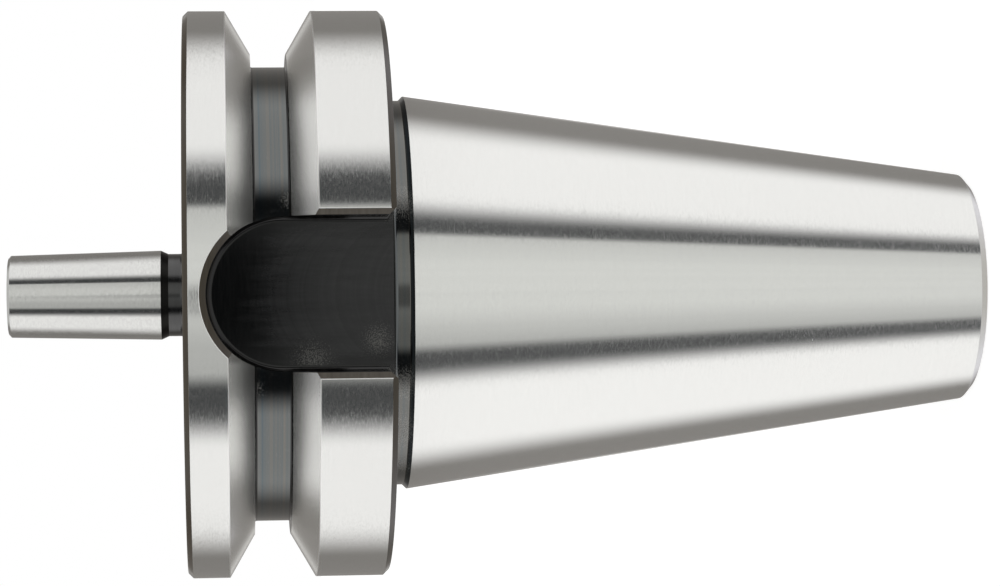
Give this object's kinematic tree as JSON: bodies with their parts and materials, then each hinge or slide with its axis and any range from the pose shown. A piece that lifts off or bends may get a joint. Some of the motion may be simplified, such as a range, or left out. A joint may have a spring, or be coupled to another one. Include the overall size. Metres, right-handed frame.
{
  "type": "drill chuck arbor",
  "caption": "One-piece drill chuck arbor: No. 50 steep 7:24 spindle taper, grooved flange with two drive keyways, and a short self-holding taper nose for a drill chuck.",
  "frame": {"origin": "on the axis, in the gauge plane of the 7:24 spindle taper", "axes": "+Z along the axis from the spindle taper to the chuck nose; the two drive keyways face -Y and +Y"},
  "size_m": [0.1, 0.1, 0.1708],
  "materials": {
    "arbor_steel": "ground bright on the tapers, the flange rims, the V flanks and the small end's chamfer; blackened in the keyways, the groove's root, both necks, the flange's end faces and their chamfers"
  },
  "bodies": {
    "root": {"arbor": "arbor_steel"}
  },
  "joints": []
}
